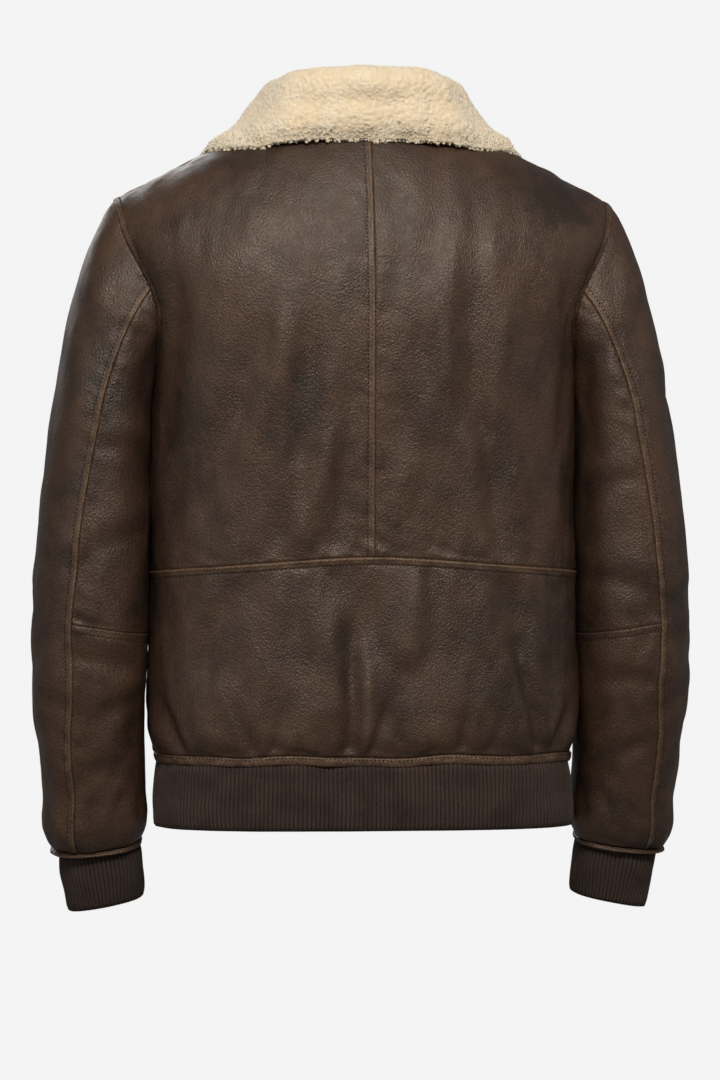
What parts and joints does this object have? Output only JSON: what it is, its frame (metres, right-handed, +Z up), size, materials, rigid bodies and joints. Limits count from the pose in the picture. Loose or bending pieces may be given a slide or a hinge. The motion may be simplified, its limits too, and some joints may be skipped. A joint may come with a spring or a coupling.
{
  "type": "leather bomber jacket",
  "caption": "Worn bomber jacket in smooth brown leather with a fleece collar, ribbed knit hem and cuffs, two-piece sleeves and a front zip.",
  "frame": {"origin": "where the wearer's shoulders carry it, at the base of the neck, midway between front and back", "axes": "+Z up, +Y out of the garment's back, +X to the wearer's left"},
  "size_m": [0.5982, 0.264, 0.7593],
  "materials": {
    "leather": "smooth, waxed, lightly worn",
    "rib_knit": "matte ribbed knit",
    "fleece": "short curly pile",
    "zip_tape": "woven tape",
    "zip_metal": "dark antique brass"
  },
  "bodies": {
    "garment": {"back_left": "leather", "back_right": "leather", "back_waist": "leather", "front_left": "leather", "front_right": "leather", "hem_strip": "leather", "sleeve_top_left": "leather", "sleeve_top_right": "leather", "sleeve_under_upper_left": "leather", "sleeve_under_upper_right": "leather", "sleeve_under_lower_left": "leather", "sleeve_under_lower_right": "leather", "cuff_strip_left": "leather", "cuff_strip_right": "leather", "under_collar": "leather", "hem_rib": "rib_knit", "cuff_rib_left": "rib_knit", "cuff_rib_right": "rib_knit", "collar_fleece": "fleece", "zip_tape_left": "zip_tape", "zip_tape_right": "zip_tape", "zip_chain": "zip_metal", "zip_slider": "zip_metal"},
    "pull": {"zip_pull": "zip_metal"}
  },
  "joints": [
    {"name": "pull_hinge", "type": "hinge", "parent": "garment", "child": "pull", "pos_m": [0, -0.12319, -0.09486], "axis": [-1, 0, 0], "range_deg": [0, 110]}
  ]
}
